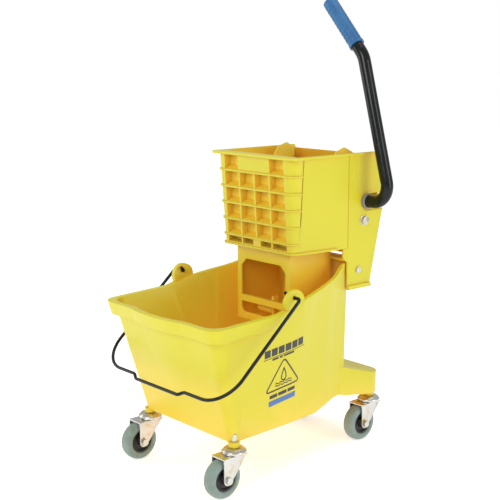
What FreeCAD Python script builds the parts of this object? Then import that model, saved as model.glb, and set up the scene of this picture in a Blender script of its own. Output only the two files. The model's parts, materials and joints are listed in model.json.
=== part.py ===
import FreeCAD, Part
import math
import os
import re
import Sketcher

# Side-press mop wringer on a wheeled bucket.
# Frame: origin on the floor under the middle of the object, +Z up, -Y the pouring front,
# +X the side that carries the press handle.  Millimetres.

V = FreeCAD.Vector
Rotation = FreeCAD.Rotation
X_AXIS = V(1, 0, 0)
Z_AXIS = V(0, 0, 1)

SIZES = {
    # whole object
    "overall_half": 268.5,      # half of the front-to-back length
    # tub
    "floor_level": 101.0,       # underside of the tub floor
    "brim_level": 400.0,        # level at which the upper tub outline is stated
    "wall": 4.0,
    "front_foot": 183.5,        # front wall at floor level, ahead of the origin
    "front_brim": 268.0,        # front wall at brim level
    "front_foot_half": 136.5,
    "front_brim_half": 173.2,
    "back_wall": 153.6,
    "lip_reach": 9.0,           # how far the front lip stands out from the wall
    "lip_drop": 27.0,           # height of the front lip
    "ear_setback": 60.0,        # ear centre ahead of the origin
    "ear_level": 357.0,
    "ear_radius": 24.0,
    "pivot_level": 366.0,
    "ledge_half": 107.0,        # half width of the rear platform
    # bail
    "wire": 6.5,
    "bail_half": 190.0,
    "bail_drop": 200.0,
    "bail_front": 250.0,
    # casters
    "wheel": 76.2,
    "tyre_width": 28.0,
    "trail": 29.5,
    "fork_half": 19.0,
    "fork_plate": 2.8,
    "front_stem_x": 132.0,
    "front_stem_y": 175.5,
    "rear_stem_x": 89.0,
    "rear_stem_y": 241.5,
    "cup": 48.0,
    "stem": 11.0,
    # wringer
    "rim_level": 618.0,
    "rim_half": 122.0,
    "rim_front": 19.0,
    "rim_overhang": 6.0,
    "hopper_level": 427.0,      # underside of the hopper
    "hopper_half": 103.0,
    "cheek_half": 118.0,
    "cheek_wall": 4.0,
    "cheek_front": 139.0,       # where the side walls pass into the rear cheeks
    "pocket_depth": 16.0,
    "waffle_half": 89.0,        # half width of the pocketed part of the front wall
    "skirt_half": 78.5,
    "skirt_front": 15.5,
    "skirt_foot": 270.0,
    # press mechanism
    "tube": 25.4,
    "shaft_y": 194.5,
    "shaft_z": 518.0,
    "axle_y": 183.5,
    "axle_z": 480.0,
    "bolt": 12.0,
    "hinge_y": 30.0,
    "hinge_z": 440.0,
    "plate_lean": 39.6,         # rest lean of the press plate from upright
    "teeth": 11.0,
}

doc = FreeCAD.newDocument("MopBucket")
sheet = doc.addObject("Spreadsheet::Sheet", "Sizes")
for row, (alias, value) in enumerate(SIZES.items(), start=1):
    sheet.set("A%d" % row, alias)
    sheet.set("B%d" % row, str(value))
    sheet.setAlias("B%d" % row, alias)
doc.recompute()

NODES = {}


def size(alias):
    """A driving dimension, read back from the sheet."""
    return float(sheet.get(alias))


def formula(text):
    """The same formula with every driving dimension named in full."""
    return re.sub(r"[a-z][a-z_]*", lambda word: "Sizes." + word.group(), text)


def bind(thing, prop, text):
    thing.setExpression(prop, formula(text))


def keep(name, thing):
    """Mark one document object as a finished sub-part."""
    thing.Label = name
    NODES[name] = thing
    return thing


def shaped(name, shape):
    """A sub-part or tool whose swept or lofted shape no primitive makes."""
    thing = doc.addObject("Part::Feature", name)
    thing.Shape = shape
    return thing


def rod(name, axis, x, y, z, radius, height):
    """A cylinder from the centre of its low end; every size is a formula."""
    thing = doc.addObject("Part::Cylinder", name)
    thing.Placement.Rotation = Rotation(Z_AXIS, axis)
    for prop, text in (("Radius", radius), ("Height", height),
                       ("Placement.Base.x", x), ("Placement.Base.y", y), ("Placement.Base.z", z)):
        bind(thing, prop, text)
    return thing


def hexagon(name, x, y, z, across, height):
    """A hexagonal bolt head or nut along X."""
    thing = doc.addObject("Part::Prism", name)
    thing.Polygon = 6
    thing.Placement.Rotation = Rotation(Z_AXIS, X_AXIS)
    for prop, text in (("Circumradius", across), ("Height", height),
                       ("Placement.Base.x", x), ("Placement.Base.y", y), ("Placement.Base.z", z)):
        bind(thing, prop, text)
    return thing


def fuse(name, things):
    thing = doc.addObject("Part::MultiFuse", name)
    thing.Shapes = things
    thing.Refine = True
    return thing


def cut(name, base, tools):
    thing = doc.addObject("Part::Cut", name)
    thing.Base = base
    thing.Tool = tools[0] if len(tools) == 1 else fuse(name + "_tools", tools)
    return thing


def turned(name, profile, place):
    """A body turned about its own Z axis from (radius, height) formulas, then placed."""
    body = doc.addObject("PartDesign::Body", name)
    plane = [item for item in body.Origin.OriginFeatures if item.Role == "XZ_Plane"][0]
    sketch = body.newObject("Sketcher::SketchObject", name + "_profile")
    sketch.AttachmentSupport = [(plane, "")]
    sketch.MapMode = "FlatFace"
    corners = []
    for radius, height in profile:
        values = [sheet.evalExpression(text) for text in (radius, height)]
        corners.append(V(float(values[0]), float(values[1]), 0))
    count = len(corners)
    for index in range(count):
        sketch.addGeometry(Part.LineSegment(corners[index], corners[(index + 1) % count]), False)
    for index in range(count):
        sketch.addConstraint(Sketcher.Constraint("Coincident", index, 2, (index + 1) % count, 1))
    for index, (radius, height) in enumerate(profile):
        if radius == "0":
            sketch.addConstraint(Sketcher.Constraint("PointOnObject", index, 1, -2))
        else:
            spot = sketch.addConstraint(
                Sketcher.Constraint("DistanceX", -1, 1, index, 1, corners[index].x))
            bind(sketch, "Constraints[%d]" % spot, radius)
        if height == "0":
            sketch.addConstraint(Sketcher.Constraint("PointOnObject", index, 1, -1))
        else:
            spot = sketch.addConstraint(
                Sketcher.Constraint("DistanceY", -1, 1, index, 1, corners[index].y))
            bind(sketch, "Constraints[%d]" % spot, height)
    doc.recompute()
    turn = body.newObject("PartDesign::Revolution", name + "_turn")
    turn.Profile = sketch
    turn.ReferenceAxis = (sketch, ["V_Axis"])
    turn.Angle = 360.0
    body.Placement = place
    return body


def rounded_wire(corners, level):
    """A closed outline at one level; each (x, y, radius) corner is rounded."""
    count = len(corners)
    bends = []
    for index, (x, y, radius) in enumerate(corners):
        here = V(x, y, level)
        last = corners[index - 1]
        following = corners[(index + 1) % count]
        back = (V(last[0], last[1], level) - here).normalize()
        ahead = (V(following[0], following[1], level) - here).normalize()
        half = back.getAngle(ahead) / 2
        reach = radius / math.tan(half)
        inward = (back + ahead).normalize()
        middle = here + inward * (radius / math.sin(half) - radius)
        bends.append((here + back * reach, middle, here + ahead * reach))
    edges = []
    for index, (start, middle, end) in enumerate(bends):
        edges.append(Part.Arc(start, middle, end).toShape())
        edges.append(Part.LineSegment(end, bends[(index + 1) % count][0]).toShape())
    return Part.Wire(edges)


def loft(wires):
    return Part.makeLoft(wires, True, True)


def side_prism(points, half_width, low=None):
    """A side-view outline of (y, z) points, as wide as the object needs."""
    start = -half_width if low is None else low
    corners = [V(start, y, z) for y, z in points]
    face = Part.Face(Part.makePolygon(corners + corners[:1]))
    return face.extrude(V(half_width - start, 0, 0))


def bent_path(points, radii):
    """A wire of straight runs joined by tangent arcs."""
    edges = []
    start = points[0]
    for index, radius in enumerate(radii, start=1):
        here = points[index]
        back = (points[index - 1] - here).normalize()
        ahead = (points[index + 1] - here).normalize()
        half = back.getAngle(ahead) / 2
        reach = radius / math.tan(half)
        middle = here + (back + ahead).normalize() * (radius / math.sin(half) - radius)
        edges.append(Part.LineSegment(start, here + back * reach).toShape())
        edges.append(Part.Arc(here + back * reach, middle, here + ahead * reach).toShape())
        start = here + ahead * reach
    edges.append(Part.LineSegment(start, points[-1]).toShape())
    return Part.Wire(edges)


def piped(path, radius):
    """A round bar along a path."""
    first = path.Edges[0]
    start = first.valueAt(first.FirstParameter)
    circle = Part.Wire([Part.makeCircle(radius, start, first.tangentAt(first.FirstParameter))])
    return path.makePipeShell([circle], True, False)


def ring_of(shape, centre, count):
    """Copies of one shape set evenly round a vertical axis."""
    copies = []
    for index in range(count):
        copy = shape.copy()
        copy.rotate(centre, Z_AXIS, index * 360.0 / count)
        copies.append(copy)
    return Part.makeCompound(copies)


# ---------------------------------------------------------------- tub

RIM_LINE = [(-350, 331), (-249, 333), (-161, 337), (-100, 339), (-28, 356), (42, 368),
            (88, 379), (120, 395), (160, 402)]


def tub_corners(level, grow, sharpness=1.0):
    """The tub outline at a level, grown outward; the corners open up towards the brim."""
    rise = (level - size("floor_level")) / (size("brim_level") - size("floor_level"))

    def blend(foot, brim):
        return foot + (brim - foot) * rise

    right = [
        (blend(size("front_foot_half"), size("front_brim_half")) + grow,
         -blend(size("front_foot"), size("front_brim")) - grow, blend(14, 36) * sharpness),
        (blend(125.5, 176) + grow, -20 - 20 * rise, 400),
        (blend(112, 133) + grow, 85 + 5 * rise, 400),
        (blend(101, 106) + grow, size("back_wall") + grow, 12 + grow),
    ]
    left = [(-x, y, radius) for x, y, radius in reversed(right)]
    return right + left


def bow_at(level):
    """How far the middle of the front wall bows out at a level."""
    foot = 128
    lip_top = 332.5
    rise = (lip_top - size("floor_level")) / (size("brim_level") - size("floor_level"))
    wall_front = size("front_foot") + (size("front_brim") - size("front_foot")) * rise
    full = size("overall_half") - size("lip_reach") - wall_front
    return full * (level - foot) / (lip_top - foot)


def spout_wire(level, grow):
    """The bowed front at one level: a shallow arc whose ends lie inside the front wall."""
    rise = (level - size("floor_level")) / (size("brim_level") - size("floor_level"))
    front = size("front_foot") + (size("front_brim") - size("front_foot")) * rise + grow
    buried = 8
    half = 84 + 20 * (level - 125) / (size("brim_level") - 125) + grow
    left = V(-half, buried - front, level)
    right = V(half, buried - front, level)
    back = V(0, 40, 0)
    return Part.Wire([
        Part.Arc(left, V(0, -front - bow_at(level), level), right).toShape(),
        Part.LineSegment(right, right + back).toShape(),
        Part.LineSegment(right + back, left + back).toShape(),
        Part.LineSegment(left + back, left).toShape(),
    ])


def tub_solid(grow, low, high, sharpness=1.0):
    """Flared tub with its bowed front, solid, between two levels."""
    body = loft([rounded_wire(tub_corners(low, grow, sharpness), low),
                 rounded_wire(tub_corners(high, grow, sharpness), high)])
    start = max(low, 125)
    bow = loft([spout_wire(start, grow), spout_wire(high, grow)])
    return body.fuse(bow)


def below_rim(drop, front, back):
    """The space under the rim line, lowered by drop, between two stations."""
    points = [(y, z - drop) for y, z in RIM_LINE if front < y < back]

    def at(station):
        for (y0, z0), (y1, z1) in zip(RIM_LINE, RIM_LINE[1:]):
            if y0 <= station <= y1:
                return z0 + (z1 - z0) * (station - y0) / (y1 - y0) - drop
        return RIM_LINE[-1][1] - drop

    line = [(front, at(front))] + points + [(back, at(back))]
    return side_prism(line + [(back, 50), (front, 50)], 260)


def tub_block():
    """The tub before hollowing: flared walls under the rim line, floor rising to the rear."""
    floor = size("floor_level")
    under = side_prism([(-300, 60), (200, 60), (200, 127), (109, 117), (53, floor),
                        (-300, floor)], 260)
    return tub_solid(0, floor - 6, 420).common(below_rim(0, -330, 159)).cut(under)


def tub_room():
    """The space inside the tub, down to the floor."""
    wall = size("wall")
    floor = size("floor_level")
    flooring = side_prism([(-300, 60), (200, 60), (200, 131), (109, 121), (53, floor + wall),
                           (-300, floor + wall)], 260)
    return tub_solid(-wall, floor - 6, 425).cut(flooring)


def lip():
    """Front lip: a turned-down flange round the front and both sides up to the ears."""
    reach = size("lip_reach")
    wall = size("wall")
    zone = below_rim(0, -330, -75).cut(below_rim(size("lip_drop"), -335, -70))
    hollow = tub_solid(reach - wall, 280, 425, 0.9).common(below_rim(wall, -325, -79))
    return tub_solid(reach, 285, 420, 0.9).common(zone).cut(hollow)


def bead():
    """Rear rim: a low bead from the ears back to the foot of the wringer."""
    zone = below_rim(0, -76, 118).cut(below_rim(9, -80, 119))
    return tub_solid(4, 300, 421).common(zone)


def ears():
    """Two round ears that stand above the rim and take the bail."""
    shapes = []
    for side in (-1, 1):
        start = V(163 * side, -size("ear_setback"), size("ear_level"))
        disc = Part.makeCylinder(size("ear_radius"), 11, start, V(side, 0, 0))
        hole_start = V(150 * side, -size("ear_setback") - 2.5, size("pivot_level"))
        hole = Part.makeCylinder(size("wire") / 2 + 0.6, 40, hole_start, V(side, 0, 0))
        shapes.append((disc, hole))
    return shapes


def platform():
    """Rear platform: an open-bottomed shelf that carries the two rear casters."""
    half = size("ledge_half")
    end = size("overall_half")
    top = [(130, 180), (147, 175), (233, 148), (end + 5, 144)]
    foot = [(end + 5, 100), (225, 102), (150, 114), (130, 120)]

    def plan(shrink):
        start = 130 if shrink == 0 else size("back_wall") + 2
        corners = [(half - shrink, start, 2), (half - shrink, end - shrink, 40 - shrink),
                   (-half + shrink, end - shrink, 40 - shrink), (-half + shrink, start, 2)]
        return Part.Face(rounded_wire(corners, 80)).extrude(V(0, 0, 120))

    body = plan(0).common(side_prism(top + foot, 200))
    wall = size("wall")
    ceiling = [(y, z - wall) for y, z in top]
    hollow = plan(wall).common(side_prism(ceiling + [(end + 5, 60), (130, 60)], 200))
    return body.cut(hollow)


def stem_places():
    """Caster names and the position of each stem."""
    front_x = size("front_stem_x")
    front_y = size("front_stem_y")
    rear_x = size("rear_stem_x")
    rear_y = size("rear_stem_y")
    return {"front_left": (-front_x, -front_y), "front_right": (front_x, -front_y),
            "rear_left": (-rear_x, rear_y), "rear_right": (rear_x, rear_y)}


def make_tub():
    """The tub moulding: walls, lip, bead, platform, ears and caster bosses, hollowed last."""
    solid = tub_block().fuse(platform())
    solid = solid.fuse(lip())
    solid = solid.fuse(bead())
    for disc, _ in ears():
        solid = solid.fuse(disc)
    places = stem_places().values()
    floor = size("floor_level")
    for x, y in places:
        solid = solid.fuse(Part.makeCylinder(size("stem"), floor - 91, V(x, y, 92)))
        inside = Part.makeCylinder(size("stem"), 26, V(x, y, 98))
        solid = solid.fuse(inside if y > 0 else inside.common(tub_solid(0, 97, 130)))
    corner_bosses = [Part.makeCylinder(size("stem"), 40, V(x, y, 90)) for x, y in places]
    solid = solid.cut(tub_room().cut(corner_bosses))
    for _, hole in ears():
        solid = solid.cut(hole)
    for x, y in places:
        solid = solid.cut(Part.makeCylinder(size("stem") / 2 + 0.05, 27, V(x, y, 91)))
    keep("bucket_tub", shaped("bucket_tub", solid.Solids[0]))


def make_bail():
    """Wire bail: hooked ends in the ears, flared arms and a jogged middle."""
    half = size("bail_half")
    pivot_y = -size("ear_setback") - 2.5
    pivot_z = size("pivot_level")
    front = -size("bail_front")
    low = size("bail_drop")
    right = [V(158, pivot_y - 9, pivot_z + 9), V(158, pivot_y, pivot_z),
             V(half, pivot_y, pivot_z), V(half, front, low), V(78, front, low),
             V(66, front - 6, low - 6)]
    left = [V(-point.x, point.y, point.z) for point in reversed(right)]
    bends = [5, 7, 62, 12, 12]
    path = bent_path(right + left, bends + list(reversed(bends)))
    keep("bail_handle", shaped("bail_handle", piped(path, size("wire") / 2)))


# ---------------------------------------------------------------- casters

def make_caster(name, x, y):
    """One swivel caster: fixed stem and cup, swivelling fork, spinning wheel."""
    place = FreeCAD.Placement(V(x, y, 0), Rotation())
    stem = turned("caster_%s_stem" % name,
                  [("0", "72"), ("8", "72"), ("8", "77.5"), ("4", "77.5"), ("4", "84"),
                   ("stem / 2", "84"), ("stem / 2", "117"), ("0", "118")], place)
    keep(stem.Name, stem)
    cup = turned("caster_%s_cup" % name,
                 [("stem / 2 + 0.05", "84"), ("cup / 2 - 2", "84"), ("cup / 2 - 2", "81"),
                  ("cup / 2", "81"), ("cup / 2", "86"), ("cup / 2 - 6", "91.5"),
                  ("stem / 2 + 0.05", "91.5")], place)
    keep(cup.Name, cup)
    ball = Part.makeSphere(1.3, V(x + 15, y, 82.5))
    balls = shaped("caster_%s_balls" % name, ring_of(ball, V(x, y, 0), 8))
    keep(balls.Name, balls)
    axle_y = y - size("trail")
    axle_z = size("wheel") / 2
    crown = Part.makeCylinder(21, 2.8, V(x, y, 78.2))
    crown = crown.cut(Part.makeCylinder(4.06, 10, V(x, y, 75)))
    leg_top = 80.4
    leg_outline = [(y + 17, leg_top), (axle_y - 10, leg_top), (axle_y - 10, axle_z),
                   (axle_y + 9, axle_z - 4)]
    reach = size("fork_half")
    roof = Part.makeBox(2 * reach, size("trail") + 10, 2.8, V(x - reach, axle_y - 10, leg_top - 2.8))
    roof = roof.cut(Part.makeCylinder(4.06, 10, V(x, y, 75)))
    fork_shapes = []
    for low in (-size("fork_half"), size("fork_half") - size("fork_plate")):
        leg = side_prism(leg_outline, x + low + size("fork_plate"), x + low)
        foot = Part.makeCylinder(10, size("fork_plate"), V(x + low, axle_y, axle_z), X_AXIS)
        fork_shapes.append(leg.fuse(foot))
    bore = Part.makeCylinder(4.0, 60, V(x - 30, axle_y, axle_z), X_AXIS)
    fork_solid = crown.fuse([roof] + fork_shapes).cut(bore).removeSplitter()
    keep("caster_%s_fork" % name, shaped("caster_%s_fork" % name, fork_solid))
    shank = Part.makeCylinder(3.95, 2 * reach + 8, V(x - reach - 4, axle_y, axle_z), X_AXIS)
    fixings = [shank]
    for start in (x - reach - 5, x + reach):
        fixings.append(Part.makeCylinder(7, 5, V(start, axle_y, axle_z), X_AXIS))
    bolt = fixings[0].fuse(fixings[1:]).removeSplitter()
    keep("caster_%s_axle" % name, shaped("caster_%s_axle" % name, bolt))
    wheel_place = FreeCAD.Placement(V(x, axle_y, axle_z), Rotation(Z_AXIS, X_AXIS))
    hub = turned("caster_%s_hub" % name,
                 [("4", "-15.5"), ("9", "-15.5"), ("10", "-7"), ("18.5", "-7"), ("19.5", "-11.5"),
                  ("23", "-11.5"), ("23", "11.5"), ("19.5", "11.5"), ("18.5", "7"), ("10", "7"),
                  ("9", "15.5"), ("4", "15.5")], wheel_place)
    keep(hub.Name, hub)
    tyre = turned("caster_%s_tyre" % name,
                  [("23", "-11.5"), ("26", "-13.5"), ("wheel / 2 - 5", "-tyre_width / 2"),
                   ("wheel / 2", "-tyre_width / 2 + 5"), ("wheel / 2", "tyre_width / 2 - 5"),
                   ("wheel / 2 - 5", "tyre_width / 2"), ("26", "13.5"), ("23", "11.5")], wheel_place)
    keep(tyre.Name, tyre)


# ---------------------------------------------------------------- wringer

def hopper_corners(level, grow):
    """The hopper outline at a level; the front widens and leans forward towards the rim."""
    rise = (level - size("hopper_level")) / (size("rim_level") - size("hopper_level"))
    top_half = size("rim_half") - size("rim_overhang")
    half = size("hopper_half") + rise * (top_half - size("hopper_half")) + grow
    front = -rise * (size("rim_front") - size("rim_overhang")) - grow
    rear_half = size("cheek_half") + grow
    corner = max(14 + 12 * rise + grow, 2)
    return [(half, front, corner), (rear_half, size("cheek_front"), 2),
            (-rear_half, size("cheek_front"), 2), (-half, front, corner)]


def hopper_solid(grow, low, high):
    return loft([rounded_wire(hopper_corners(low, grow), low),
                 rounded_wire(hopper_corners(high, grow), high)])


def front_at(level):
    """Y of the rib faces of the front wall at a level."""
    return hopper_corners(level, 0)[0][1]


def row_levels():
    """The horizontal ribs of the front wall, from the top down; the last row is half high."""
    pitch = (size("rim_level") - size("hopper_level") - 8) / 5.5
    top = size("rim_level") - 4
    return [top - pitch * index for index in range(6)] + [size("hopper_level") + 4]


def waffle_pockets():
    """Pockets with sloping floors: four columns, six rows, the top middle left plain."""
    levels = row_levels()
    rib = 4.6
    depth = size("pocket_depth")
    pockets = []
    for row in range(6):
        high = levels[row] - rib / 2
        low = levels[row + 1] + rib / 2
        face = front_at((high + low) / 2)
        width = size("waffle_half") / 2
        profile = [(face - 10, low - 3), (face, low), (face + depth, low + (high - low) / 4),
                   (face + depth, high), (face - 10, high)]
        for column in range(4):
            if row == 0 and column in (1, 2):
                continue
            inset = 9 if row == 5 and column in (1, 2) else 0
            left = (column - 2) * width + rib / 2 + (inset if column == 2 else 0)
            pockets.append(side_prism(profile, left + width - rib - inset, left))
    return pockets


def hoops():
    """Thin ribs that stand proud of the front and wrap both front corners."""
    shapes = []
    for level in row_levels()[1:6]:
        ring = hopper_solid(3, level - 1.75, level + 1.75)
        shapes.append(ring.cut(Part.makeBox(400, 300, 40, V(-200, 13, level - 20))))
    return shapes


def corner_grooves():
    """An upright groove on each side, just behind the rounded front corner."""
    low = size("hopper_level") + 6
    high = size("rim_level") - 7
    shapes = []
    for side in (-1, 1):
        ends = []
        for level in (low, high):
            half, front, corner = hopper_corners(level, 0)[0]
            x = side * half
            y = front + corner + 2
            spots = [V(x + 1.2, y - 1.2, level), V(x + 1.2, y + 1.2, level),
                     V(x - 1.2, y + 1.2, level), V(x - 1.2, y - 1.2, level),
                     V(x + 1.2, y - 1.2, level)]
            ends.append(Part.makePolygon(spots))
        shapes.append(loft(ends))
    return shapes


def hopper_rooms():
    """The space inside the hopper, between the cheeks and below them, as three blocks."""
    inner = size("cheek_half") - size("cheek_wall")
    back = size("cheek_front")
    low = size("hopper_level")
    high = size("rim_level")
    front_wall = size("pocket_depth") + 3

    def outline(level):
        half = hopper_corners(level, -size("cheek_wall"))[0][0]
        front = front_at(level) + front_wall
        return rounded_wire([(half, front, 3), (inner, back, 1), (inner, back + 9, 1),
                             (-inner, back + 9, 1), (-inner, back, 1), (-half, front, 3)], level)

    return [loft([outline(low - 1), outline(high + 1)]),
            Part.makeBox(2 * inner, 120, high - low + 4, V(-inner, back + 3, low - 2)),
            Part.makeBox(2 * inner, 140, low - 300, V(-inner, 120, 301))]


def shaft_seats(side):
    """Shapes of one handle-shaft seat: thickening, recess or boss, bore and entry slot."""
    face = size("cheek_half")
    wall = size("cheek_wall")
    y = size("shaft_y")
    z = size("shaft_z")
    bore_radius = size("tube") / 2 + 2.55
    bore = Part.makeCylinder(bore_radius, 40, V(side * 100, y, z), V(side, 0, 0))
    if side < 0:
        boss = Part.makeCylinder(19, wall + 8, V(-(face - wall - 4), y, z), V(-1, 0, 0))
        return boss, [bore]
    boss = Part.makeCylinder(24, wall + 3, V(face - wall - 3, y, z), X_AXIS)
    recess = Part.makeCylinder(20, 10, V(face - 2.5, y, z + 1), X_AXIS)
    recess = recess.fuse(Part.makeBox(10, 80, 40, V(face - 2.5, y, z - 19)))
    slot = Part.makeBox(60, 60, 2 * bore_radius, V(face - 18, y, z - bore_radius))
    return boss, [recess, bore, slot]


def make_hopper():
    """Hopper moulding: waffle front, side walls, rear cheeks, rim and bottom flanges."""
    low = size("hopper_level")
    high = size("rim_level")
    cheek = size("cheek_half")
    wall = size("cheek_wall")
    start = size("cheek_front")
    foot = 342
    rear = [(start, high), (212, high), (224, 590), (240, 508), (240, 495), (207, foot + 8),
            (start - 1, foot + 8), (start - 1, 398), (start - 13, 408), (start - 13, low),
            (start, low)]
    rim_corners = [(size("rim_half"), -size("rim_front"), 8), (size("rim_half"), 212, 2),
                   (-size("rim_half"), 212, 2), (-size("rim_half"), -size("rim_front"), 8)]
    rim = Part.Face(rounded_wire(rim_corners, high - 5)).extrude(V(0, 0, 5))
    flange = hopper_solid(4, low, low + 4).common(Part.makeBox(400, 160, 20, V(-200, -50, low)))
    foot_line = [(start - 1, foot), (203, foot), (210, foot + 8), (start - 1, foot + 8)]
    foot_flange = side_prism(foot_line, cheek + 4)
    solid = hopper_solid(0, low, high).cut(waffle_pockets())
    solid = solid.fuse(hoops() + [side_prism(rear, cheek), rim, flange, foot_flange])
    solid = solid.cut(corner_grooves())
    rebate = [(233, 492), (250, 500), (220, 345), (190, foot + 8)]
    for side in (-1, 1):
        solid = solid.cut(side_prism(rebate, side * (cheek + 8), side * (cheek - 2)))
    for room in hopper_rooms():
        solid = solid.cut(room)
    solid = solid.fuse(Part.makeBox(2 * cheek - 2, 30, 5, V(-cheek + 1, 130, 402)))
    for side in (-1, 1):
        boss, tools = shaft_seats(side)
        solid = solid.fuse(boss.common(side_prism(rear, 200))).cut(tools)
        for y, z, radius in ((size("axle_y"), size("axle_z"), size("bolt") / 2), (169, 380, 4)):
            solid = solid.cut(Part.makeCylinder(radius + 0.05, 60, V(side * 90, y, z),
                                                V(side, 0, 0)))
        pivot = V(side * 90, size("hinge_y"), size("hinge_z"))
        solid = solid.cut(Part.makeCylinder(5.05, 14, pivot, V(side, 0, 0)))
    keep("wringer_hopper", shaped("wringer_hopper", solid.removeSplitter()))


def make_skirt():
    """Drain frame below the hopper: a window frame in front and two side webs."""
    half = size("skirt_half")
    front = size("skirt_front")
    foot = size("skirt_foot")
    top = size("hopper_level")
    wall = 4
    plate = Part.makeBox(2 * half, wall, top - foot, V(-half, front, foot))
    outline = [(66, 285, 12), (66, 383, 1), (52, 398, 1), (-52, 398, 1), (-66, 383, 1),
               (-66, 285, 12)]
    window = Part.Face(rounded_wire(outline, 0)).extrude(V(0, 0, 40))
    window.rotate(V(0, 0, 0), X_AXIS, 90)
    window.translate(V(0, front + 20, 0))
    frame = plate.cut(window)
    bar = Part.makeBox(2 * half - 10, 9, 13, V(-half + 5, front, 308))
    web = [(front, foot), (front, top), (130, top), (130, 300), (95, foot)]
    webs = [side_prism(web, half, half - wall), side_prism(web, wall - half, -half)]
    skirt = frame.fuse([bar] + webs)
    keep("wringer_skirt", shaped("wringer_skirt", skirt.removeSplitter()))
    # drain lug: a round-ended tongue on a post behind the crossbar
    tongue = Part.makeCylinder(9, 41, V(-32, front + 24, 297), X_AXIS)
    post = Part.makeBox(6, 14, 50, V(9, front + 16, 276))
    tie = Part.makeBox(6, 20, 10, V(9, front + 5, 310))
    lug = tongue.fuse([post, tie]).cut(bar)
    keep("drain_lug", shaped("drain_lug", lug.removeSplitter()))


def make_rear_cover():
    """Panel that closes the back of the gear housing between the cheeks."""
    inner = size("cheek_half") - size("cheek_wall") - 0.2
    outline = [(210, 612), (221, 588), (236.5, 508), (236.5, 496), (204.5, 356), (201, 356),
               (233, 497), (233, 508), (217.5, 587), (206.5, 612)]
    panel = side_prism(outline, inner)
    slots = [Part.makeBox(90, 60, 5, V(-45, 180, 380 + 14 * index)) for index in range(4)]
    keep("rear_cover", shaped("rear_cover", panel.cut(slots)))


def plate_point(along, behind):
    """A point given along the resting press plate from its hinge and behind its mid-plane."""
    lean = math.radians(size("plate_lean"))
    return (size("hinge_y") + along * math.sin(lean) + behind * math.cos(lean),
            size("hinge_z") + along * math.cos(lean) - behind * math.sin(lean))


def make_press_plate():
    """Press plate: ribbed board on two hinge knuckles, round-topped wings, cam ribs behind."""
    board = [plate_point(8, -3), plate_point(190, -3), plate_point(190, 3), plate_point(8, 3)]
    solid = side_prism(board, 87)
    knuckle = Part.makeCylinder(9, 174, V(-87, size("hinge_y"), size("hinge_z")), X_AXIS)
    solid = solid.fuse(knuckle)
    for index in range(7):
        along = 30 + 25 * index
        rib = [plate_point(along, -3), plate_point(along + 4, -3), plate_point(along + 4, -9),
               plate_point(along, -9)]
        solid = solid.fuse(side_prism(rib, 84))
    wing = [plate_point(20, -14), plate_point(205, -34), plate_point(226, -20),
            plate_point(232, 4), plate_point(220, 14), plate_point(190, 14), plate_point(20, 6)]
    for low in (-87, 83):
        solid = solid.fuse(side_prism(wing, low + 4, low))
    cam = [plate_point(20, 2), plate_point(110, 2), plate_point(108, 30), plate_point(92, 46),
           plate_point(84, 41), plate_point(72, 31), plate_point(58, 27), plate_point(46, 28),
           plate_point(38, 36), plate_point(28, 30)]
    for low in (-60, 52):
        solid = solid.fuse(side_prism(cam, low + 8, low))
    bore = Part.makeCylinder(5.06, 400, V(-200, size("hinge_y"), size("hinge_z")), X_AXIS)
    keep("press_plate", shaped("press_plate", solid.cut(bore).removeSplitter()))
    hinge = Part.makeCylinder(5, 207, V(-103.5, size("hinge_y"), size("hinge_z")), X_AXIS)
    keep("press_plate_rod", shaped("press_plate_rod", hinge))


def gear(start_angle, count):
    """A spur gear outline with straight-flanked teeth, drawn about the origin in YZ."""
    teeth = int(size("teeth"))
    spread = math.dist((size("shaft_y"), size("shaft_z")), (size("axle_y"), size("axle_z")))
    pitch_radius = spread / 2
    module = 2 * pitch_radius / teeth
    root = pitch_radius - 1.15 * module
    tip = pitch_radius + 0.8 * module
    step = 2 * math.pi / teeth
    points = []
    for index in range(count):
        centre = start_angle + index * step
        for radius, share in ((root, -0.34), (pitch_radius, -0.215), (tip, -0.10),
                              (tip, 0.10), (pitch_radius, 0.215), (root, 0.34)):
            angle = centre + share * step
            points.append((radius * math.cos(angle), radius * math.sin(angle)))
    return points, root


def gear_solid(y, z, low, high, start_angle, count):
    points, root = gear(start_angle, count)
    if count < int(size("teeth")):
        points.append((0, 0))
    teeth = side_prism([(y + a, z + b) for a, b in points], high, low)
    core = Part.makeCylinder(root + 0.1, high - low, V(low, y, z), X_AXIS)
    return teeth.fuse(core)


def mesh_angle():
    """Direction from the handle shaft to the sector axle, in YZ."""
    return math.atan2(size("axle_z") - size("shaft_z"), size("axle_y") - size("shaft_y"))


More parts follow.
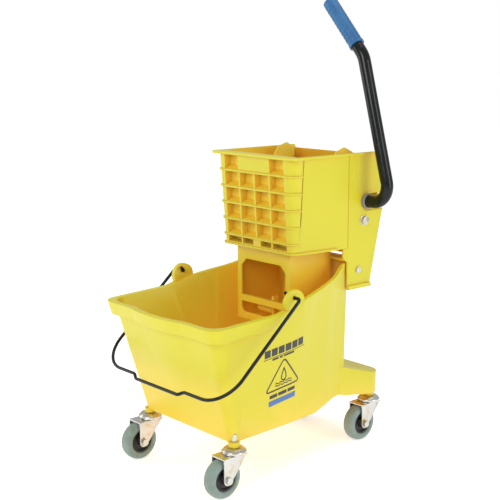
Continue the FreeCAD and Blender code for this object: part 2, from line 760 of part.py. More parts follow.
def make_gears():
    """Two pinions on the handle shaft and two sectors with push arms on the axle."""
    step = 2 * math.pi / int(size("teeth"))
    towards = mesh_angle()
    arm_angle = math.radians(205)
    reach = 98
    end_y = size("axle_y") + reach * math.cos(arm_angle)
    end_z = size("axle_z") + reach * math.sin(arm_angle)
    for name, side in (("left", -1), ("right", 1)):
        low, high = sorted((side * 98, side * 108))
        pinion = gear_solid(size("shaft_y"), size("shaft_z"), low, high, towards,
                            int(size("teeth")))
        bore = Part.makeCylinder(size("tube") / 2 + 0.02, 40,
                                 V(low - 10, size("shaft_y"), size("shaft_z")), X_AXIS)
        keep("pinion_%s" % name, shaped("pinion_%s" % name, pinion.cut(bore)))
        sector = gear_solid(size("axle_y"), size("axle_z"), low, high,
                            towards + math.pi + step / 2, int(size("teeth")))
        sleeve_low, sleeve_high = sorted((side * 64, side * 99))
        sleeve = Part.makeCylinder(11, sleeve_high - sleeve_low,
                                   V(sleeve_low, size("axle_y"), size("axle_z")), X_AXIS)
        arm_low, arm_high = sorted((side * 64, side * 74))
        across = V(0, -math.sin(arm_angle), math.cos(arm_angle)) * 8
        hub = V(0, size("axle_y"), size("axle_z"))
        tip = V(0, end_y, end_z)
        outline = [hub + across, tip + across, tip - across, hub - across]
        arm = side_prism([(point.y, point.z) for point in outline], arm_high, arm_low)
        eye = Part.makeCylinder(8, 10, V(arm_low, end_y, end_z), X_AXIS)
        pin_low, pin_high = sorted((side * 48, side * 66))
        pin = Part.makeCylinder(4, pin_high - pin_low, V(pin_low, end_y, end_z), X_AXIS)
        bolt_hole = Part.makeCylinder(size("bolt") / 2 + 0.06, 60,
                                      V(sleeve_low - 10, size("axle_y"), size("axle_z")), X_AXIS)
        body = sector.fuse([sleeve, arm, eye, pin]).cut(bolt_hole)
        keep("sector_%s" % name, shaped("sector_%s" % name, body.removeSplitter()))
        roll_low, roll_high = sorted((side * 50, side * 63))
        roller = Part.makeCylinder(7, roll_high - roll_low, V(roll_low, end_y, end_z), X_AXIS)
        roller = roller.cut(Part.makeCylinder(4.02, 40, V(roll_low - 10, end_y, end_z), X_AXIS))
        keep("push_roller_%s" % name, shaped("push_roller_%s" % name, roller))


def make_fasteners():
    """Axle bolt with its nut, and the two lower cover screws."""
    half = size("cheek_half")
    shank = rod("axle_shank", X_AXIS, "-cheek_half - 8", "axle_y", "axle_z", "bolt / 2 - 0.02",
                "2 * cheek_half + 14")
    head = hexagon("axle_head", "cheek_half + 1.3", "axle_y", "axle_z", "9", "6")
    washer = rod("axle_washer", X_AXIS, "cheek_half", "axle_y", "axle_z", "11", "1.3")
    keep("axle_bolt", fuse("axle_bolt", [shank, head, washer]))
    nut = hexagon("axle_nut_blank", "-cheek_half - 7", "axle_y", "axle_z", "9.5", "7")
    bore = rod("axle_nut_bore", X_AXIS, "-cheek_half - 20", "axle_y", "axle_z", "bolt / 2", "30")
    keep("axle_nut", cut("axle_nut", nut, [bore]))
    screws = []
    for side in (-1, 1):
        cap = Part.makeCylinder(6.5, 3, V(side * half, 169, 380), V(side, 0, 0))
        body = Part.makeCylinder(4, 16, V(side * (half - 14), 169, 380), V(side, 0, 0))
        screws.append(cap.fuse(body))
    keep("cover_screws", shaped("cover_screws", Part.makeCompound(screws)))


def make_bushes():
    """Bearing bushes of the handle shaft in the two cheeks."""
    inner = size("tube") / 2 + 0.05
    for name, side in (("left", -1), ("right", 1)):
        start = V(side * 110.2, size("shaft_y"), size("shaft_z"))
        ring = Part.makeCylinder(inner + 2.45, 11.6, start, V(side, 0, 0))
        ring = ring.cut(Part.makeCylinder(inner, 60, V(side * 90, start.y, start.z),
                                          V(side, 0, 0)))
        keep("shaft_bush_%s" % name, shaped("shaft_bush_%s" % name, ring))


def handle_path():
    """Centre line of the press handle: cross shaft, bend, long leg, grip bend."""
    y = size("shaft_y")
    return [V(-116, y, size("shaft_z")), V(179.7, y, size("shaft_z")), V(99.5, y, 808),
            V(6, y, 913)]


def make_handle():
    """Bent steel tube with a moulded grip and its collar."""
    points = handle_path()
    path = bent_path(points, [34, 52])
    outer = piped(path, size("tube") / 2)
    hollow = piped(path, size("tube") / 2 - 2)
    keep("handle_tube", shaped("handle_tube", outer.cut(hollow)))
    along = (points[3] - points[2]).normalize()
    start = points[3] - along * 108
    grip = Part.makeCylinder(15, 113, start, along)
    grip = grip.cut(Part.makeCylinder(size("tube") / 2 + 0.02, 108, start, along))
    keep("handle_grip", shaped("handle_grip", grip))
    collar = Part.makeCylinder(16, 5, start - along * 5, along)
    collar = collar.cut(Part.makeCylinder(size("tube") / 2 + 0.02, 20, start - along * 9, along))
    keep("grip_collar", shaped("grip_collar", collar))


# ---------------------------------------------------------------- build and write

make_tub()
make_bail()
for caster, (stem_x, stem_y) in stem_places().items():
    make_caster(caster, stem_x, stem_y)
make_hopper()
make_skirt()
make_rear_cover()
make_press_plate()
make_gears()
make_fasteners()
make_bushes()
make_handle()
doc.recompute()

for thing in doc.Objects:
    if "Invalid" in thing.State or "Error" in thing.State:
        raise RuntimeError("%s did not build" % thing.Label)

os.makedirs("parts", exist_ok=True)
for name, thing in NODES.items():
    shape = thing.Shape
    if shape.isNull() or not shape.isValid():
        raise RuntimeError("%s has no valid shape" % name)
    shape.exportStep("parts/%s.step" % name)
    bounds = shape.BoundBox
    print("%-28s solids %d  volume %.0f  x %.1f..%.1f  y %.1f..%.1f  z %.1f..%.1f" % (
        name, len(shape.Solids), shape.Volume, bounds.XMin, bounds.XMax, bounds.YMin,
        bounds.YMax, bounds.ZMin, bounds.ZMax))
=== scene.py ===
"""Looks of the mop bucket with its side-press wringer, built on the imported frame."""

import json
import math

import bmesh
import bpy
from mathutils import Matrix, Vector
from mathutils.bvhtree import BVHTree


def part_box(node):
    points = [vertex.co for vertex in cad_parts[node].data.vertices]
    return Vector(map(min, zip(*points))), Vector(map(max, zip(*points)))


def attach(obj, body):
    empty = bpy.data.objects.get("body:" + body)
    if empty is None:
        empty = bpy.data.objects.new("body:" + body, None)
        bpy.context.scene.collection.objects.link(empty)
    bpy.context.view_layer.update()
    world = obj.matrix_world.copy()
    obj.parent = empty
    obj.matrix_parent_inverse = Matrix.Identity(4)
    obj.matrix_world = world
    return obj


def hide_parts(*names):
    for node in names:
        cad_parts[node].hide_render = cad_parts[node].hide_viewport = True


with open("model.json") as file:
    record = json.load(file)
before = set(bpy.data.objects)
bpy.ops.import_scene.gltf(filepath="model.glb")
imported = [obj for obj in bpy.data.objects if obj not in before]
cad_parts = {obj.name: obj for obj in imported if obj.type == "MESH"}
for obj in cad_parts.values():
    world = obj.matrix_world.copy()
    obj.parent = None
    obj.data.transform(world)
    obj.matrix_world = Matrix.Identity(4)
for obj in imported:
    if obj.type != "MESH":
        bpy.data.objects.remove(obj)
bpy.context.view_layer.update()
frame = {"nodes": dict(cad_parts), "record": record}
MM = 0.001
CASTERS = ("front_left", "front_right", "rear_left", "rear_right")
SHARP_ANGLE = 32.0               # edges sharper than this, in degrees, are rounded over
WELD = 0.02 * MM                 # points closer than this are one point
HUB_RADIUS = 23 * MM             # where the tyre sits on the hub
HUB_BORE = 6 * MM
TUBE_BORE = 12.8 * MM            # the grip's bore, over the lever tube
GRIP_AXIS = (-93.5, 0, 105)      # the lean of the lever's top end
SIGN_AT = Vector((0, -60 * MM, 185 * MM))
SIGN_TILT = math.radians(6)
INK_HEIGHT = 0.35 * MM           # how far the print stands off the wall
CAMERA_AT = (1.5651, -1.3983, 0.8149)
CAMERA_TURN = math.radians(48.62)
CAMERA_DIP = math.radians(10.53)
LENS = 76.6
SENSOR = 36.0


# ---------------------------------------------------------------- materials

class Nodes:
    """Short way to build one node tree."""

    def __init__(self, tree):
        self.tree = tree
        self.tree.nodes.clear()

    def add(self, kind, inputs=None, **props):
        node = self.tree.nodes.new("ShaderNode" + kind)
        for name, value in props.items():
            setattr(node, name, value)
        for name, value in (inputs or {}).items():
            if isinstance(value, bpy.types.NodeSocket):
                self.tree.links.new(value, node.inputs[name])
            else:
                node.inputs[name].default_value = value
        return node

    def ramp(self, factor, stops):
        node = self.add("ValToRGB", {"Fac": factor})
        elements = node.color_ramp.elements
        while len(elements) < len(stops):
            elements.new(0.5)
        for element, (place, color) in zip(elements, stops):
            element.position = place
            element.color = color
        return node.outputs["Color"]

    def noise(self, scale, detail=3.0, roughness=0.5):
        place = self.add("TexCoord").outputs["Object"]
        node = self.add("TexNoise", {"Vector": place, "Scale": scale, "Detail": detail,
                                     "Roughness": roughness})
        return node.outputs["Fac"]

    def mix(self, factor, first, second):
        node = self.tree.nodes.new("ShaderNodeMix")
        node.data_type = "RGBA"
        for index, value in ((0, factor), (6, first), (7, second)):
            if isinstance(value, bpy.types.NodeSocket):
                self.tree.links.new(value, node.inputs[index])
            else:
                node.inputs[index].default_value = value
        return node.outputs[2]

    def spread(self, value, low, high):
        node = self.add("MapRange", {"Value": value, "To Min": low, "To Max": high})
        return node.outputs["Result"]

    def finish(self, shader):
        output = self.add("OutputMaterial")
        self.tree.links.new(shader, output.inputs["Surface"])


def new_material(name):
    material = bpy.data.materials.new(name)
    material.use_nodes = True
    return material, Nodes(material.node_tree)


def grey(value):
    return (value, value, value, 1.0)


def moulded_plastic(name, lit, shaded, painted_nook_shade, roughness=0.36, edge=1.2 * MM, grain=0.05):
    """Glossy moulded plastic with painted shade: ambient occlusion paints the shaded colour deep
    inside and a painted nook-shade colour in small recesses.
    """
    material, nodes = new_material(name)
    # painted shade: wide ambient occlusion turns enclosed insides to the shaded colour, short
    # ambient occlusion turns small recesses to the nook-shade colour
    painted_shade_ao = nodes.add("AmbientOcclusion", {"Distance": 0.30}, samples=6)
    painted_shade_mask = nodes.ramp(painted_shade_ao.outputs["AO"], [(0.22, grey(0.0)), (0.80, grey(1.0))])
    painted_nook_ao = nodes.add("AmbientOcclusion", {"Distance": 0.022}, samples=6)
    painted_nook_mask = nodes.ramp(painted_nook_ao.outputs["AO"], [(0.10, grey(0.0)), (0.70, grey(1.0))])
    mottle = nodes.noise(9.0, 4.0)
    tint = nodes.mix(nodes.spread(mottle, 0.0, 0.10), lit, shaded)
    # painted shade laid over the mottled lit colour
    color = nodes.mix(painted_nook_mask, painted_nook_shade, nodes.mix(painted_shade_mask, shaded, tint))
    soft_edge = nodes.add("Bevel", {"Radius": edge}, samples=4)
    ripple = nodes.add("Bump", {"Height": nodes.noise(26.0, 2.0), "Strength": 0.05,
                                "Distance": 2 * MM, "Normal": soft_edge.outputs["Normal"]})
    fine = nodes.add("Bump", {"Height": nodes.noise(1400.0, 2.0), "Strength": grain,
                              "Distance": 0.2 * MM, "Normal": ripple.outputs["Normal"]})
    scuff = nodes.noise(55.0, 6.0, 0.7)
    shader = nodes.add("BsdfPrincipled", {
        "Base Color": color, "Roughness": nodes.spread(scuff, roughness - 0.06, roughness + 0.1),
        "IOR": 1.47, "Subsurface Weight": 0.12, "Subsurface Radius": (0.006, 0.004, 0.0005),
        "Subsurface Scale": 0.5, "Normal": fine.outputs["Normal"]})
    nodes.finish(shader.outputs["BSDF"])
    return material


def bright_zinc(name, base=(0.58, 0.58, 0.57, 1.0), tinted=(0.52, 0.43, 0.25, 1.0),
                roughness=0.24):
    """Zinc plate with the pale yellow cast that passivated steel has in patches."""
    material, nodes = new_material(name)
    patches = nodes.ramp(nodes.noise(60.0, 3.0), [(0.48, grey(0.0)), (0.75, grey(1.0))])
    color = nodes.mix(patches, base, tinted)
    scratches = nodes.noise(420.0, 5.0, 0.7)
    soft_edge = nodes.add("Bevel", {"Radius": 0.6 * MM}, samples=4)
    bump = nodes.add("Bump", {"Height": scratches, "Strength": 0.03, "Distance": 0.15 * MM,
                              "Normal": soft_edge.outputs["Normal"]})
    shader = nodes.add("BsdfPrincipled", {
        "Base Color": color, "Metallic": 1.0, "Normal": bump.outputs["Normal"],
        "Roughness": nodes.spread(scratches, roughness - 0.08, roughness + 0.14)})
    nodes.finish(shader.outputs["BSDF"])
    return material


def black_enamel(name, roughness=0.16, orange_peel=0.10):
    """Glossy black enamel over steel, with a slight orange-peel surface and dust in places."""
    material, nodes = new_material(name)
    dust = nodes.ramp(nodes.noise(34.0, 6.0, 0.6), [(0.50, grey(0.0)), (0.85, grey(1.0))])
    color = nodes.mix(dust, (0.003, 0.005, 0.004, 1.0), (0.010, 0.013, 0.012, 1.0))
    bump = nodes.add("Bump", {"Height": nodes.noise(230.0, 2.0), "Strength": orange_peel,
                              "Distance": 0.3 * MM})
    shader = nodes.add("BsdfPrincipled", {
        "Base Color": color, "Roughness": nodes.spread(dust, roughness, roughness + 0.12),
        "Specular IOR Level": 0.28, "Normal": bump.outputs["Normal"]})
    nodes.finish(shader.outputs["BSDF"])
    return material


def grey_rubber(name):
    """Non-marking grey tyre rubber: matt, faintly blotched, with fine scuffs."""
    material, nodes = new_material(name)
    blotch = nodes.ramp(nodes.noise(48.0, 6.0, 0.65), [(0.30, grey(0.0)), (0.72, grey(1.0))])
    color = nodes.mix(blotch, (0.15, 0.20, 0.18, 1.0), (0.22, 0.29, 0.25, 1.0))
    bump = nodes.add("Bump", {"Height": nodes.noise(520.0, 5.0, 0.7), "Strength": 0.25,
                              "Distance": 0.25 * MM})
    shader = nodes.add("BsdfPrincipled", {
        "Base Color": color, "Roughness": nodes.spread(blotch, 0.50, 0.68),
        "Sheen Weight": 0.15, "Normal": bump.outputs["Normal"]})
    nodes.finish(shader.outputs["BSDF"])
    return material


def grip_vinyl(name):
    """Blue vinyl grip: satin, lighter where it has been handled."""
    material, nodes = new_material(name)
    worn = nodes.ramp(nodes.noise(40.0, 5.0, 0.6), [(0.35, grey(0.0)), (0.80, grey(1.0))])
    color = nodes.mix(worn, (0.008, 0.090, 0.240, 1.0), (0.016, 0.140, 0.310, 1.0))
    bump = nodes.add("Bump", {"Height": nodes.noise(900.0, 3.0), "Strength": 0.15,
                              "Distance": 0.2 * MM})
    shader = nodes.add("BsdfPrincipled", {
        "Base Color": color, "Roughness": nodes.spread(worn, 0.36, 0.52),
        "Normal": bump.outputs["Normal"]})
    nodes.finish(shader.outputs["BSDF"])
    return material


def printed_ink(name, color):
    """Thin printed ink, slightly uneven in cover."""
    material, nodes = new_material(name)
    cover = nodes.noise(380.0, 4.0, 0.6)
    tint = nodes.mix(nodes.spread(cover, 0.0, 0.25), color, grey(0.12))
    shader = nodes.add("BsdfPrincipled", {
        "Base Color": tint, "Roughness": nodes.spread(cover, 0.38, 0.5)})
    nodes.finish(shader.outputs["BSDF"])
    return material


# lit yellow, then the painted shade orange for deep insides, then the painted shade brown-orange
# for small recesses
YELLOW = moulded_plastic("yellow_plastic", (0.55, 0.515, 0.016, 1.0), (0.95, 0.56, 0.045, 1.0),
                         (0.52, 0.36, 0.030, 1.0))
ZINC = bright_zinc("bright_zinc")
CAST = bright_zinc("cast_steel", grey(0.30), (0.26, 0.24, 0.21, 1.0), 0.42)
ENAMEL = black_enamel("black_enamel")
WIRE = black_enamel("black_wire", 0.30, 0.2)
RUBBER = grey_rubber("grey_rubber")
# painted shade: the hub's darker colour for its insides and recesses
HUB_PAINTED_SHADE = grey(0.006)
HUB = moulded_plastic("black_hub", (0.012, 0.013, 0.013, 1.0), HUB_PAINTED_SHADE, HUB_PAINTED_SHADE, 0.42, 0.6 * MM, 0.2)
# painted shade: the nylon's darker grey for its insides and recesses
NYLON_PAINTED_SHADE = (0.22, 0.22, 0.20, 1.0)
NYLON = moulded_plastic("grey_nylon", (0.36, 0.36, 0.34, 1.0), NYLON_PAINTED_SHADE, NYLON_PAINTED_SHADE, 0.45)
GRIP = grip_vinyl("blue_grip")
INK = printed_ink("black_ink", (0.012, 0.012, 0.012, 1.0))
BLUE_INK = printed_ink("blue_ink", (0.045, 0.14, 0.42, 1.0))

SLOT_MATERIALS = {"yellow_plastic": YELLOW, "zinc_steel": ZINC, "cast_gear": CAST,
                  "black_tube": ENAMEL, "black_wire": WIRE, "grey_tyre": RUBBER,
                  "black_hub": HUB, "grey_nylon": NYLON, "blue_grip": GRIP}
NODE_SLOTS = {entry["node"]: entry["material_slot"] for entry in frame["record"]["subparts"]}
NODE_BODIES = {node: body for body, nodes in frame["record"]["behaviour"]["bodies"].items()
               for node in nodes}


def dress_frame():
    """Every carried-over CAD node takes the detailed material of its slot."""
    for name, piece in frame["nodes"].items():
        for index in range(len(piece.material_slots)):
            piece.material_slots[index].material = SLOT_MATERIALS[NODE_SLOTS[name]]


# ---------------------------------------------------------------- pieces

def add_piece(name, mesh, body, material):
    """A smooth-shaded visual piece that rides a body and wears the given material."""
    piece = bpy.data.objects.new(name, mesh)
    bpy.context.scene.collection.objects.link(piece)
    mesh.materials.clear()
    mesh.materials.append(material)
    for polygon in mesh.polygons:
        polygon.use_smooth = True
    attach(piece, body)
    return piece


def apply_modifiers(piece):
    """Bake a piece's modifiers into its mesh."""
    graph = bpy.context.evaluated_depsgraph_get()
    mesh = bpy.data.meshes.new_from_object(piece.evaluated_get(graph))
    piece.modifiers.clear()
    piece.data = mesh


def softened(node, width, segments=3):
    """A CAD sub-part with its sharp edges rounded over, as moulding or stamping leaves them."""
    source = frame["nodes"][node].data
    work = bmesh.new()
    work.from_mesh(source)
    bmesh.ops.remove_doubles(work, verts=work.verts, dist=WELD)
    bmesh.ops.dissolve_limit(work, angle_limit=math.radians(1.0), verts=work.verts,
                             edges=work.edges, delimit=set())
    mesh = bpy.data.meshes.new(node + "_soft")
    work.to_mesh(mesh)
    work.free()
    slot = NODE_SLOTS[node]
    piece = add_piece(node + "_soft", mesh, NODE_BODIES[node], SLOT_MATERIALS[slot])
    bevel = piece.modifiers.new("rounding", "BEVEL")
    bevel.width = width
    bevel.segments = segments
    bevel.limit_method = "ANGLE"
    bevel.angle_limit = math.radians(SHARP_ANGLE)
    bevel.use_clamp_overlap = True
    bevel.harden_normals = True
    apply_modifiers(piece)
    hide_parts(node)


def lathe(profile, centre, axis, steps):
    """Mesh turned about an axis through centre, from a closed loop of (radius, along)."""
    axis = Vector(axis).normalized()
    across = axis.orthogonal().normalized()
    up = axis.cross(across)
    work = bmesh.new()
    rings = []
    for step in range(steps):
        angle = 2 * math.pi * step / steps
        outward = across * math.cos(angle) + up * math.sin(angle)
        rings.append([work.verts.new(Vector(centre) + outward * radius + axis * along)
                      for radius, along in profile])
    count = len(profile)
    for step in range(steps):
        here, there = rings[step], rings[(step + 1) % steps]
        for index in range(count):
            after = (index + 1) % count
            work.faces.new((here[index], here[after], there[after], there[index]))
    bmesh.ops.remove_doubles(work, verts=work.verts, dist=0.001 * MM)
    bmesh.ops.recalc_face_normals(work, faces=work.faces)
    mesh = bpy.data.meshes.new("turned")
    work.to_mesh(mesh)
    work.free()
    return mesh


def rounded_profile(corners, radius, steps=4):
    """A closed (radius, along) loop with every corner rounded over."""
    points = []
    count = len(corners)
    for index in range(count):
        corner = Vector(corners[index])
        before = (Vector(corners[index - 1]) - corner)
        after = (Vector(corners[(index + 1) % count]) - corner)
        reach = min(radius, before.length * 0.45, after.length * 0.45)
        start = corner + before.normalized() * reach
        end = corner + after.normalized() * reach
        for step in range(steps + 1):
            share = step / steps
            points.append(start.lerp(corner, share).lerp(corner.lerp(end, share), share))
    return [tuple(point) for point in points]


def sharp_edges(piece, angle):
    """Smooth shading that breaks at edges sharper than the angle."""
    limit = math.radians(angle)
    work = bmesh.new()
    work.from_mesh(piece.data)
    for edge in work.edges:
        edge.smooth = len(edge.link_faces) == 2 and edge.calc_face_angle(0) < limit
    work.to_mesh(piece.data)
    work.free()


# ---------------------------------------------------------------- casters

def centre_of(node):
    low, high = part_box(node)
    return (Vector(low) + Vector(high)) / 2


def dress_caster(name):
    """Wheel of one caster: moulded tyre with a crowned tread, and a dished black hub."""
    tyre_node = "caster_%s_tyre" % name
    low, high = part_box(tyre_node)
    middle = centre_of(tyre_node)
    radius = (high[2] - low[2]) / 2
    half = (high[0] - low[0]) / 2
    seat = HUB_RADIUS
    tyre = rounded_profile([(seat, -half + 3.4 * MM), (seat + 2.2 * MM, -half + 0.6 * MM),
                            (radius - 9 * MM, -half), (radius - 2.2 * MM, -half + 3.2 * MM),
                            (radius, -half + 9 * MM), (radius, half - 9 * MM),
                            (radius - 2.2 * MM, half - 3.2 * MM), (radius - 9 * MM, half),
                            (seat + 2.2 * MM, half - 0.6 * MM), (seat, half - 3.4 * MM)],
                           2.4 * MM)
    piece = add_piece("tyre_%s" % name, lathe(tyre, middle, (1, 0, 0), 72),
                      NODE_BODIES[tyre_node], RUBBER)
    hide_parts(tyre_node)
    hub_node = "caster_%s_hub" % name
    bore = HUB_BORE
    hub = rounded_profile([(bore, -half - 1 * MM), (9 * MM, -half - 1 * MM),
                           (10.5 * MM, -half + 6 * MM), (18 * MM, -half + 6.5 * MM),
                           (19.5 * MM, -half + 2.4 * MM), (seat, -half + 2.4 * MM),
                           (seat, half - 2.4 * MM), (19.5 * MM, half - 2.4 * MM),
                           (18 * MM, half - 6.5 * MM), (10.5 * MM, half - 6 * MM),
                           (9 * MM, half + 1 * MM), (bore, half + 1 * MM)], 0.8 * MM, 2)
    piece = add_piece("hub_%s" % name, lathe(hub, middle, (1, 0, 0), 48),
                      NODE_BODIES[hub_node], HUB)
    sharp_edges(piece, 40)
    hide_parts(hub_node)


# ---------------------------------------------------------------- grip

def dress_grip():
    """Vinyl grip with a domed end and rows of small raised rings for the fingers."""
    node = "handle_grip"
    axis = Vector(GRIP_AXIS).normalized()
    points = [vertex.co for vertex in frame["nodes"][node].data.vertices]
    middle = centre_of(node)
    along = [(point - middle).dot(axis) for point in points]
    low, high = min(along), max(along)
    radius = max(((point - middle) - axis * (point - middle).dot(axis)).length
                 for point in points)
    bore = TUBE_BORE
    profile = rounded_profile([(bore, low), (radius, low), (radius, high),
                               (2 * MM, high + 0.3 * MM), (0.01 * MM, high + 0.3 * MM),
                               (0.01 * MM, high - 5 * MM), (bore, high - 5 * MM)], 4 * MM, 5)
    mesh = lathe(profile, middle, axis, 64)
    piece = add_piece("grip_sleeve", mesh, NODE_BODIES[node], GRIP)
    sharp_edges(piece, 50)
    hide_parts(node)
    side = axis.cross(Vector((0, 1, 0))).normalized()
    work = bmesh.new()
    for row in range(10):
        for turn in (-34, -12, 12, 34, 146, 168, 192, 214):
            face = Matrix.Rotation(math.radians(turn + 90), 4, axis) @ side
            spot = middle + axis * (low + 12 * MM + row * 9.6 * MM) + face * (radius - 0.25 * MM)
            place = Matrix.Translation(spot) @ face.to_track_quat("Z", "Y").to_matrix().to_4x4()
            ring_bump(work, place, 2.3 * MM, 0.75 * MM)
    mesh = bpy.data.meshes.new("grip_bumps")
    work.to_mesh(mesh)
    work.free()
    add_piece("grip_bumps", mesh, NODE_BODIES[node], GRIP)


def ring_bump(work, place, ring, tube):
    """A small raised ring, lying in the local XY plane of place."""
    rows = []
    for step in range(12):
        turn = 2 * math.pi * step / 12
        outward = Vector((math.cos(turn), math.sin(turn), 0))
        rows.append([work.verts.new(place @ (outward * (ring + tube * math.cos(bend)) +
                                             Vector((0, 0, tube * math.sin(bend)))))
                     for bend in (math.pi * k / 4 for k in range(5))])
    for step in range(12):
        here, there = rows[step], rows[(step + 1) % 12]
        for index in range(4):
            work.faces.new((here[index], there[index], there[index + 1], here[index + 1]))


# ---------------------------------------------------------------- printed sign

def print_sign():
    """Generic wet-floor sign printed on the right side: bars for words, a drop in a triangle."""
    tub = frame["nodes"]["bucket_tub"]
    wall = BVHTree.FromObject(tub, bpy.context.evaluated_depsgraph_get())
    right = Vector((0, math.cos(SIGN_TILT), math.sin(SIGN_TILT)))
    up = Vector((0, -math.sin(SIGN_TILT), math.cos(SIGN_TILT)))

    def on_wall(u, v):
        """The wall point u along and v up the sign, in millimetres from its origin."""
        flat = SIGN_AT + right * (u * MM) + up * (v * MM)
        hit, _, _, _ = wall.ray_cast(flat + Vector((0.5, 0, 0)), Vector((-1, 0, 0)))
        return hit + Vector((INK_HEIGHT, 0, 0))

    def patch(work, corner, wide, high):
        """A filled bar, laid on the wall in small cells."""
        nu = max(2, int(wide / 4))
        nv = max(2, int(high / 4))
        grid = [[work.verts.new(on_wall(corner[0] + wide * i / nu,
                                        corner[1] + high * j / nv))
                 for j in range(nv + 1)] for i in range(nu + 1)]
        for i in range(nu):
            for j in range(nv):
                work.faces.new((grid[i][j], grid[i + 1][j], grid[i + 1][j + 1], grid[i][j + 1]))

    def line(work, path, width):
        """A closed printed line of even width."""
        count = len(path)
        rows = []
        for index in range(count):
            before = Vector(path[index - 1])
            after = Vector(path[(index + 1) % count])
            run = (after - before).normalized()
            side = Vector((-run.y, run.x)) * width / 2
            here = Vector(path[index])
            rows.append([work.verts.new(on_wall(*(here - side))),
                         work.verts.new(on_wall(*(here + side)))])
        for index in range(count):
            here, there = rows[index], rows[(index + 1) % count]
            work.faces.new((here[0], there[0], there[1], here[1]))

    def smooth_path(corners, radius, gap):
        """Corner-rounded closed path with points no further apart than gap."""
        soft = rounded_profile(corners, radius, 5)
        path = []
        for index, point in enumerate(soft):
            after = Vector(soft[(index + 1) % len(soft)])
            start = Vector(point)
            pieces = max(1, int((after - start).length / gap))
            path += [tuple(start.lerp(after, k / pieces)) for k in range(pieces)]
        return path

    black = bmesh.new()
    line(black, smooth_path([(-46, 0), (46, 0), (2, 61)], 9, 5), 3.0)
    drop = [(2 + 8.5 * math.sin(turn) * math.sin(turn / 2) ** 1.5, 28 + 13 * math.cos(turn))
            for turn in (2 * math.pi * k / 40 for k in range(40))]
    line(black, drop, 2.6)
    for level in (7.5, 12.5):
        wave = [(-20 + 44 * k / 24, level + 1.4 * math.sin(k * math.pi / 3)) for k in range(25)]
        line(black, wave + [(x, y - 0.2) for x, y in reversed(wave)], 1.6)
    for start, wide in ((-50, 15), (-32, 15), (-14, 15), (4, 15), (22, 15), (40, 15)):
        patch(black, (start, 74), wide, 15)
    patch(black, (-52, 70), 112, 1.2)
    for start, wide in ((-30, 16), (-11, 8), (0, 28)):
        patch(black, (start, 64.5), wide, 4)
    for start, wide in ((-34, 20), (-11, 22), (14, 20)):
        patch(black, (start, -15), wide, 7)
    plate = bmesh.new()
    patch(plate, (-36, -31), 72, 11)
    for name, work, ink in (("sign_black", black, INK), ("sign_plate", plate, BLUE_INK)):
        bmesh.ops.recalc_face_normals(work, faces=work.faces)
        mesh = bpy.data.meshes.new(name)
        work.to_mesh(mesh)
        work.free()
        if mesh.polygons[0].normal.x < 0:
            mesh.flip_normals()
        add_piece(name, mesh, "bucket", ink)


dress_frame()
for caster in CASTERS:
    dress_caster(caster)
    softened("caster_%s_fork" % caster, 0.7 * MM, 2)
    softened("caster_%s_cup" % caster, 0.8 * MM, 2)
dress_grip()
print_sign()
for node, width, segments in (("bucket_tub", 1.3, 3), ("wringer_skirt", 1.2, 3),
                              ("drain_lug", 1.5, 3), ("rear_cover", 0.8, 3),
                              ("press_plate", 1.0, 3), ("axle_bolt", 0.7, 2),
                              ("axle_nut", 0.7, 2)):
    softened(node, width * MM, segments)

# ---------------------------------------------------------------- stage

def area_light(name, place, target, size, power):
    """Rectangular soft light at place, aimed at target."""
    data = bpy.data.lights.new(name, "AREA")
    data.shape = "RECTANGLE"
    data.size, data.size_y = size
    data.energy = power
    lamp = bpy.data.objects.new(name, data)
    lamp.location = place
    lamp.rotation_euler = (Vector(target) - Vector(place)).to_track_quat("-Z", "Y").to_euler()
    bpy.context.scene.collection.objects.link(lamp)


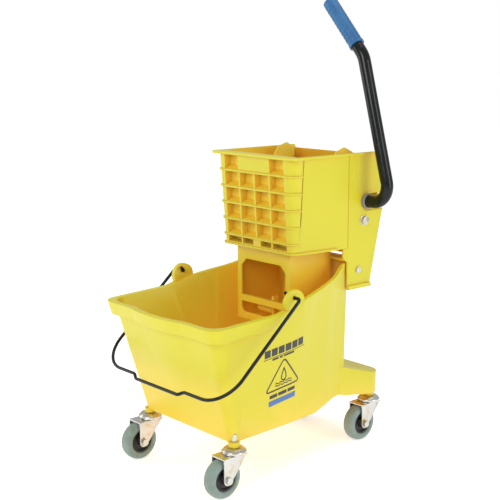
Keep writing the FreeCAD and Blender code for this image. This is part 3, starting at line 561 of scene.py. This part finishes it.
def make_world():
    """White studio surround."""
    world = bpy.data.worlds.new("studio")
    world.use_nodes = True
    bpy.context.scene.world = world
    tree = world.node_tree
    tree.nodes.clear()
    backdrop = tree.nodes.new("ShaderNodeBackground")
    backdrop.inputs["Color"].default_value = (1, 1, 1, 1)
    backdrop.inputs["Strength"].default_value = 1.0
    surround = tree.nodes.new("ShaderNodeBackground")
    surround.inputs["Color"].default_value = (1.0, 1.0, 1.0, 1)
    surround.inputs["Strength"].default_value = 0.62
    path = tree.nodes.new("ShaderNodeLightPath")
    mix = tree.nodes.new("ShaderNodeMixShader")
    output = tree.nodes.new("ShaderNodeOutputWorld")
    tree.links.new(path.outputs["Is Camera Ray"], mix.inputs[0])
    tree.links.new(surround.outputs[0], mix.inputs[1])
    tree.links.new(backdrop.outputs[0], mix.inputs[2])
    tree.links.new(mix.outputs[0], output.inputs["Surface"])


def make_camera():
    """Three-quarter view from the front right, a little above the rim."""
    data = bpy.data.cameras.new("view")
    data.sensor_width = SENSOR
    data.lens = LENS
    camera = bpy.data.objects.new("view", data)
    level = math.cos(CAMERA_DIP)
    forward = Vector((-math.sin(CAMERA_TURN) * level, math.cos(CAMERA_TURN) * level,
                      -math.sin(CAMERA_DIP)))
    camera.location = CAMERA_AT
    camera.rotation_mode = "QUATERNION"
    camera.rotation_quaternion = forward.to_track_quat("-Z", "Y")
    bpy.context.scene.collection.objects.link(camera)
    bpy.context.scene.camera = camera


def make_floor():
    """Plain pale floor that fades into the surround."""
    work = bmesh.new()
    bmesh.ops.create_grid(work, x_segments=8, y_segments=8, size=30)
    mesh = bpy.data.meshes.new("floor")
    work.to_mesh(mesh)
    work.free()
    floor = bpy.data.objects.new("floor", mesh)
    floor.location.z = -0.2 * MM
    bpy.context.scene.collection.objects.link(floor)
    material, nodes = new_material("pale_floor")
    grain = nodes.noise(3.0, 3.0)
    color = nodes.mix(nodes.spread(grain, 0.0, 0.06), grey(0.93), grey(0.88))
    shader = nodes.add("BsdfPrincipled", {"Base Color": color, "Roughness": 0.8,
                                          "Emission Color": grey(1.0),
                                          "Emission Strength": 0.45})
    nodes.finish(shader.outputs["BSDF"])
    floor.data.materials.append(material)


# the plain transform keeps the plastic's yellow saturated and the floor white
bpy.context.scene.view_settings.view_transform = "Standard"
make_world()
make_floor()
make_camera()
middle = (0, 0, 0.35)            # what the lights are aimed at
area_light("key", (0.9, -2.6, 1.9), middle, (1.4, 1.4), 36)
area_light("fill", (-2.2, -1.6, 1.2), middle, (1.6, 1.6), 15)
area_light("side", (2.6, 0.7, 1.1), middle, (1.0, 1.8), 22)
area_light("top", (0, 0.3, 2.6), middle, (1.6, 1.6), 13)
